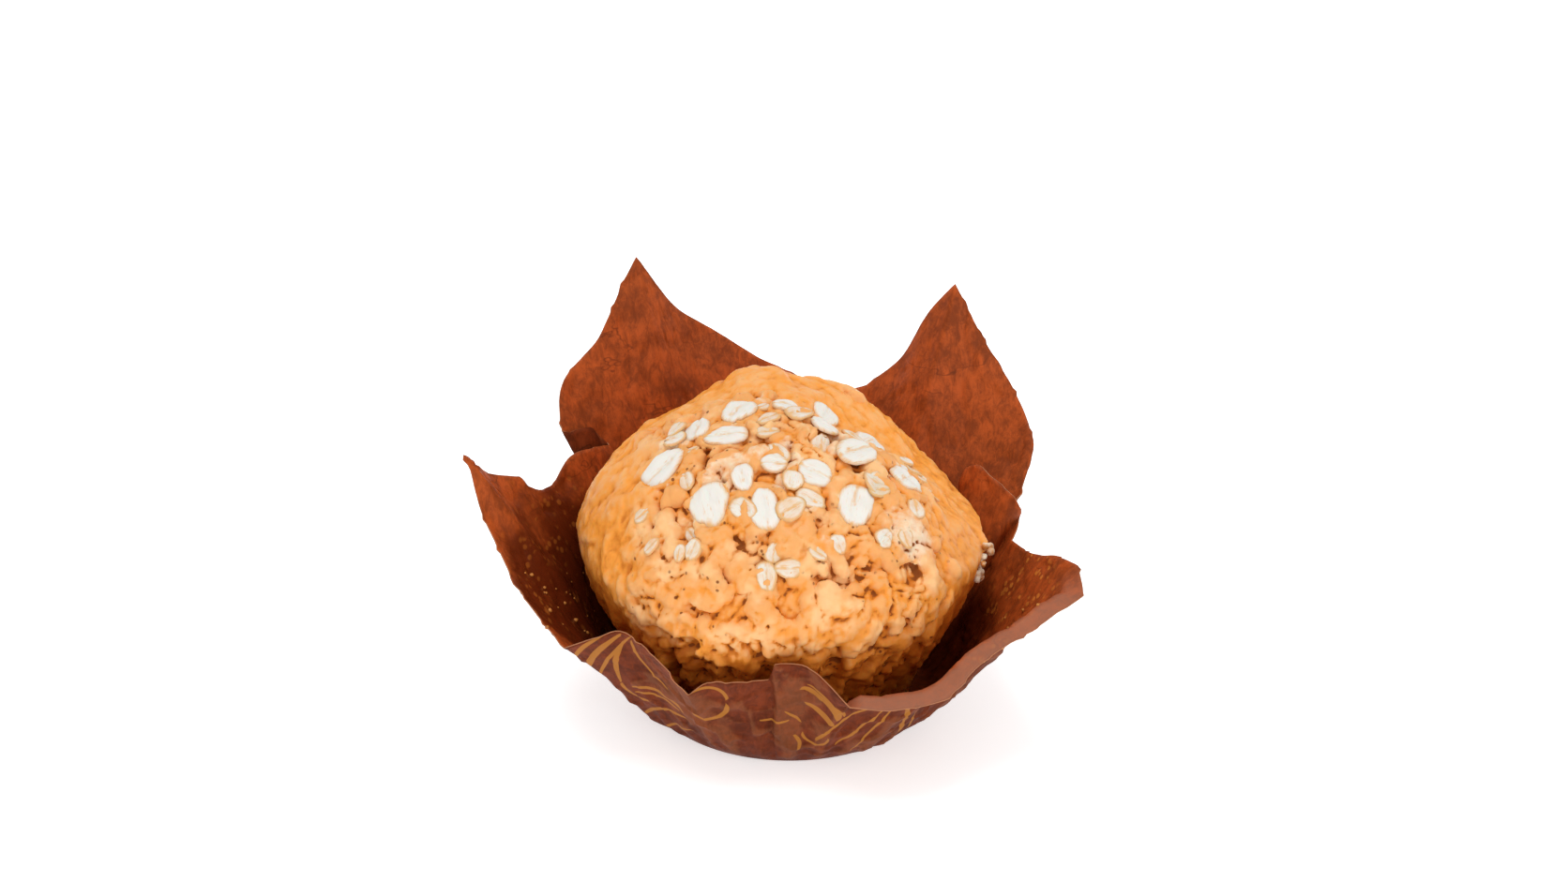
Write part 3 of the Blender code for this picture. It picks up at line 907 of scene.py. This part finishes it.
# ---------------------------------------------------------------- oat flakes
def flake_points(half_long, half_wide, thick, rng, rings, spokes, bend):
    """One rolled flake: points, faces, and each point's place on it. Its top is rings 0 to rings - 1."""
    waves = [(k, rng.uniform(-1, 1) * 0.12 / k, rng.uniform(0, math.tau)) for k in (2, 3, 4, 5, 7, 9, 12)]
    notch_at, notch_deep = rng.uniform(-0.6, 0.6), rng.uniform(0.0, 0.2)
    shift = Vector((rng.uniform(0, 90), rng.uniform(0, 90), 0))
    curl = rng.uniform(-0.3, 0.25)
    taper = rng.uniform(0.05, 0.28)

    def outline(turn):
        cos, sin = abs(math.cos(turn)), abs(math.sin(turn))
        reach = (cos**2.15 / half_long**2.15 + sin**2.15 / half_wide**2.15) ** (-1 / 2.15)
        ripple = 1 + sum(size * math.cos(k * turn + phase) for k, size, phase in waves)
        off = (turn - notch_at + math.pi) % math.tau - math.pi
        return reach * ripple * (1 - notch_deep * math.exp(-((off / 0.13) ** 2)))

    def surface(turn, share, side):
        reach = outline(turn) * share
        u, v = reach * math.cos(turn), reach * math.sin(turn)
        v *= 1 - taper * u / half_long
        middle = -bend * (u * u + v * v) / 2 + curl * thick * (v / half_wide) ** 2
        middle += 0.35 * thick * noise.noise(Vector((u * 0.35, v * 0.35, 0)) + shift)
        depth = thick / 2 * math.sqrt(max(0.0, 1 - share**5)) * (0.8 + 0.2 * share)
        drift = 0.3 * half_wide * noise.noise(Vector((u * 0.3, 0, 9)) + shift)
        crease = 0.24 * thick * math.exp(-(((v - drift) / (0.2 * half_wide)) ** 2)) * (1 - share**4)
        ribs = 0.16 * thick * noise.noise(Vector((u * 0.25, v * 1.3, 5)) + shift)
        return (u, v, middle + side * depth - (crease - ribs if side > 0 else 0))

    points, places = [], []
    for side in (1, -1):
        points.append(surface(0, 0, side))
        places.append((0, 0, 0))
        for ring in range(1, rings + 1):
            if side < 0 and ring == rings:
                continue
            share = (ring / rings) ** 0.75
            for spoke in range(spokes):
                spot = surface(math.tau * spoke / spokes, share, side)
                points.append(spot)
                places.append((spot[0] / half_long, spot[1] / half_wide, share))
    top, bottom = 1, 2 + rings * spokes
    faces = []
    for n in range(spokes):
        m = (n + 1) % spokes
        faces.append((0, top + n, top + m))
        faces.append((bottom - 1, bottom + m, bottom + n))
        for ring in range(rings - 1):
            low, high = top + ring * spokes, top + (ring + 1) * spokes
            faces.append((low + n, high + n, high + m, low + m))
        for ring in range(rings - 2):
            low, high = bottom + ring * spokes, bottom + (ring + 1) * spokes
            faces.append((low + m, high + m, high + n, low + n))
        low, high = bottom + (rings - 2) * spokes, top + (rings - 1) * spokes
        faces.append((low + m, high + m, high + n, low + n))
    return np.array(points), faces, np.array(places)


def oat_material(settings, name, warmth):
    shader = Shader(name, Subsurface_Weight=0.15, Subsurface_Scale=0.0015, Coat_Roughness=0.4)
    spot = shader.attribute("spot", "Vector")
    _, v, share = shader.parts(spot)
    place_at = shader.place()
    grain = shader.noise(shader.stretched(spot, 0.7, 6, 1), 0.5, 4, 0.6)
    cloud = shader.noise(place_at, 0.0035, 3)
    crease = abs(v + (cloud - 0.5) * 0.8).rise(0.2, 0.0) * cloud.rise(0.35, 0.6)
    streak = grain.rise(0.54, 0.72)
    rim = share.rise(0.7, 1.0)
    tan = (crease * 0.5 + streak * 0.6 + rim * 0.7 + (cloud - 0.5) * 1.2 + warmth).rise(0.1, 1.1)
    shader.feed("Base Color", shader.mix(tan, settings.cream, settings.tan))
    shader.feed("Roughness", 0.58 + grain * 0.15)
    shader.feed("Coat Weight", cloud.rise(0.45, 0.7) * 0.12)
    shader.bump(grain * 0.7 + shader.noise(place_at, 0.0005, 2) * 0.3, 0.0001, 0.6)
    return shader.material


def flake_piece(number, node, settings, finish):
    """A detailed flake in the place of a flake's solid, pressed a little into the crumb."""
    rng = random.Random(100 + number)
    centre, axes, half = flake_frame(node)
    thick = settings.thickness / MM
    points, faces, spots = flake_points(half[0], half[1], thick, rng, 12, 56, 0.022)
    points = points @ axes + centre - axes[2] * 0.28
    mesh = mesh_from(f"rolled_oat_{number:02d}", points, faces)
    give(mesh, "spot", spots)
    piece = place(mesh.name, mesh, finish)
    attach(piece, "root")
    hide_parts(node)


def clear_of_flakes(point, frames):
    """Whether a point lies outside every whole flake's outline."""
    for centre, axes, half in frames:
        local = axes @ (point - centre)
        if (local[0] / (half[0] + 1)) ** 2 + (local[1] / (half[1] + 1)) ** 2 < 1 and abs(local[2]) < 5:
            return False
    return True


def broken_oats(settings, crumb):
    """Small pieces of flake that lie flat in the torn crumb, as one mesh."""
    rng = random.Random(31)
    frames = [flake_frame(node) for node in FLAKE_NODES]
    plain = tree_of(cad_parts["muffin"].data)
    points = points_of(crumb)
    weight = open_crumb(points) * smoothstep(36, 52, points[:, 2]) + 1e-9
    all_points, all_faces, all_spots, start = [], [], [], 0
    for pick in rng.choices(range(len(points)), weights=weight.tolist(), k=settings.broken):
        half_long = rng.uniform(1.4, 3.2)
        half_wide = half_long * rng.uniform(0.55, 0.9)
        body, faces, spots = flake_points(half_long, half_wide, rng.uniform(0.7, 1.0), rng, 6, 24, 0.02)
        turn = np.array(turned(plain.find_nearest(Vector(points[pick]))[1], rng.uniform(-0.15, 0.15),
                               rng.uniform(0, math.tau)))
        local = (points - points[pick]) @ turn
        inside = np.hypot(local[:, 0] / half_long, local[:, 1] / half_wide) < 0.9
        around = inside & (np.abs(local[:, 2]) < 3)
        seat = local[around][:, 2].mean() + rng.uniform(-0.05, 0.35)
        if not clear_of_flakes(points[pick], frames) or local[around][:, 2].std() > 0.6:
            continue
        all_points.append((body + (0, 0, seat)) @ turn.T + points[pick])
        all_spots.append(spots)
        all_faces += [tuple(corner + start for corner in face) for face in faces]
        start += len(body)
    mesh = mesh_from("broken_oats", np.concatenate(all_points), all_faces)
    give(mesh, "spot", np.concatenate(all_spots))
    return mesh


# ---------------------------------------------------------------- loose crumbs
def crumb_specks(settings, paper, crumb):
    """Crumbs that stick to the paper on the right and on the left, and a cluster that hangs by the crown."""
    rng = random.Random(57)
    unit, unit_faces = ball(2)
    spots = []
    for _ in range(settings.crumbs):
        right = rng.random() < 0.6
        angle = rng.gauss(-32, 9) if right else rng.gauss(196, 9)
        height = rng.uniform(9, 27)
        start = polar(angle, 20, height)
        hit, normal, _, _ = paper.ray_cast(start, polar(angle, 1, 0.25).normalized())
        if hit is not None:
            spots.append((hit, rng.uniform(0.12, 0.4), 0.0))
    anchor = Vector((AXIS.x + CROWN_RADIUS * 0.985, -7, 31))
    for _ in range(26):
        spread = Vector((rng.gauss(0.6, 0.7), rng.gauss(0, 1.6), rng.gauss(-1, 2.6)))
        hit, normal, _, _ = crumb.find_nearest(anchor + spread)
        spots.append((hit + normal * rng.uniform(0, 0.9), rng.uniform(0.3, 0.8), 1.0))
    all_points, all_faces = [], []
    for count, (spot, size, _) in enumerate(spots):
        radii = np.array([size * rng.uniform(0.7, 1.3) for _ in range(3)])
        shift = Vector((rng.uniform(0, 50), rng.uniform(0, 50), 0))
        swell = np.array([1 + 0.4 * noise.noise(Vector(p) * 1.6 + shift) for p in unit])
        all_points.append(unit * radii * swell[:, None] + np.array(spot))
        all_faces.append(unit_faces + count * len(unit))
    mesh = mesh_from("loose_crumbs", np.concatenate(all_points), np.concatenate(all_faces))
    give(mesh, "pale", np.repeat([pale for _, _, pale in spots], len(unit)))
    return mesh


def speck_material(settings):
    shader = Shader("loose_crumb", Roughness=0.6)
    place_at = shader.place()
    tint = shader.noise(place_at, 0.0022, 2).rise(0.35, 0.65) * shader.attribute("pale")
    shader.feed("Base Color", shader.mix(tint, shaded(settings.gold, 0.6), settings.cream))
    return shader.material


# ---------------------------------------------------------------- operators
class MUFFIN_OT_crumb(bpy.types.Operator):
    """Build the baked crumb in the place of the muffin's solid"""

    bl_idname = "muffin.crumb"
    bl_label = "Crumb"

    def execute(self, context):
        settings = context.scene.muffin_crumb
        piece = place("muffin_crumb", crumb_mesh(settings), crumb_material(settings))
        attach(piece, "root")
        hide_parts("muffin")
        return {"FINISHED"}


class MUFFIN_OT_case(bpy.types.Operator):
    """Build the crumpled paper case in the place of the case's solid"""

    bl_idname = "muffin.case"
    bl_label = "Paper case"

    def execute(self, context):
        settings = context.scene.muffin_case
        sides = [outside_material(settings), inside_material(settings), edge_material(settings)]
        piece = place("paper_case", case_mesh(settings, sides))
        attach(piece, "root")
        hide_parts("case")
        return {"FINISHED"}


class MUFFIN_OT_flakes(bpy.types.Operator):
    """Build a detailed rolled oat in the place of each flake's solid"""

    bl_idname = "muffin.flakes"
    bl_label = "Whole flakes"

    def execute(self, context):
        settings = context.scene.muffin_oats
        finishes = [oat_material(settings, "rolled_oat", 0.0), oat_material(settings, "toasted_oat", 0.12)]
        for number, node in enumerate(FLAKE_NODES, start=1):
            flake_piece(number, node, settings, finishes[number % 5 == 0])
        return {"FINISHED"}


class MUFFIN_OT_broken(bpy.types.Operator):
    """Scatter small pieces of flake in the torn crumb"""

    bl_idname = "muffin.broken"
    bl_label = "Broken flakes"

    def execute(self, context):
        settings = context.scene.muffin_oats
        crumb = bpy.data.objects["muffin_crumb"].data
        mesh = broken_oats(settings, crumb)
        piece = place("broken_oats", mesh, oat_material(settings, "baked_oat", 0.5))
        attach(piece, "root")
        return {"FINISHED"}


class MUFFIN_OT_specks(bpy.types.Operator):
    """Scatter loose crumbs on the paper and by the crown"""

    bl_idname = "muffin.specks"
    bl_label = "Loose crumbs"

    def execute(self, context):
        paper = tree_of(bpy.data.objects["paper_case"].data)
        crumb = tree_of(bpy.data.objects["muffin_crumb"].data)
        mesh = crumb_specks(context.scene.muffin_oats, paper, crumb)
        piece = place("loose_crumbs", mesh, speck_material(context.scene.muffin_crumb))
        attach(piece, "root")
        return {"FINISHED"}


class MUFFIN_OT_stage(bpy.types.Operator):
    """Set the pale floor, the soft white lamps and the camera"""

    bl_idname = "muffin.stage"
    bl_label = "Stage"

    def execute(self, context):
        settings = context.scene.muffin_stage
        scene = context.scene
        corners = [(x * TABLE_REACH, y * TABLE_REACH, 0) for x, y in ((-1, -1), (1, -1), (1, 1), (-1, 1))]
        table = Shader("pale_floor", Roughness=0.6, Specular_IOR_Level=0.2, Base_Color=(0.93, 0.93, 0.93, 1))
        table.surface.inputs["Emission Color"].default_value = (1, 1, 1, 1)
        table.surface.inputs["Emission Strength"].default_value = settings.table_glow
        floor = place("floor", mesh_from("floor", np.array(corners), [(0, 1, 2, 3)]), table.material)
        world = bpy.data.worlds.new("white_surround")
        world.use_nodes = True
        world.node_tree.nodes["Background"].inputs["Color"].default_value = (1, 1, 1, 1)
        world.node_tree.nodes["Background"].inputs["Strength"].default_value = settings.surround
        scene.world = world
        scene.view_settings.view_transform = "Standard"
        aim = Vector(CAMERA_AIM) * MM
        key = lamp("key_lamp", "SUN", (-0.05, -0.05, 0.6), settings.key)
        key.angle = settings.key_spread
        fill = lamp("fill_lamp", "AREA", (0.3, -0.55, 0.3), settings.fill)
        fill.size = 0.3
        camera = bpy.data.objects.new("camera", bpy.data.cameras.new("camera"))
        camera.data.lens = settings.lens
        camera.data.sensor_width = 36
        back = Vector((0, -math.cos(settings.elevation), math.sin(settings.elevation)))
        camera.location = aim + back * settings.distance
        camera.rotation_euler = (-back).to_track_quat("-Z", "Y").to_euler()
        scene.collection.objects.link(camera)
        scene.camera = camera
        return {"FINISHED"}


def lamp(name, kind, location, energy):
    """A white lamp that faces the muffin. Returns its light."""
    light = bpy.data.lights.new(name, kind)
    light.energy = energy
    made = bpy.data.objects.new(name, light)
    made.location = location
    made.rotation_euler = (Vector((0, 0, 0.03)) - made.location).to_track_quat("-Z", "Y").to_euler()
    bpy.context.scene.collection.objects.link(made)
    return light


STEPS = (
    MUFFIN_OT_crumb,
    MUFFIN_OT_case,
    MUFFIN_OT_flakes,
    MUFFIN_OT_broken,
    MUFFIN_OT_specks,
    MUFFIN_OT_stage,
)
SETTINGS = dict(
    muffin_crumb=CrumbSettings,
    muffin_case=CaseSettings,
    muffin_oats=OatSettings,
    muffin_stage=StageSettings,
)


class MUFFIN_PT_panel(bpy.types.Panel):
    """Settings and steps of the muffin"""

    bl_idname = "MUFFIN_PT_panel"
    bl_label = "Oat Muffin"
    bl_space_type = "VIEW_3D"
    bl_region_type = "UI"
    bl_category = "Muffin"

    def draw(self, context):
        for step in STEPS:
            self.layout.operator(step.bl_idname)
        for name in SETTINGS:
            box = self.layout.box()
            settings = getattr(context.scene, name)
            for key in settings.bl_rna.properties.keys():
                if key not in ("rna_type", "name"):
                    box.prop(settings, key)


def register():
    for group in (*SETTINGS.values(), *STEPS, MUFFIN_PT_panel):
        bpy.utils.register_class(group)
    for name, group in SETTINGS.items():
        setattr(bpy.types.Scene, name, PointerProperty(type=group))


def unregister():
    for name in SETTINGS:
        delattr(bpy.types.Scene, name)
    for group in reversed((*SETTINGS.values(), *STEPS, MUFFIN_PT_panel)):
        bpy.utils.unregister_class(group)


def main():
    register()
    for step in STEPS:
        family, action = step.bl_idname.split(".")
        getattr(getattr(bpy.ops, family), action)()


if __name__ == "__main__":
    main()
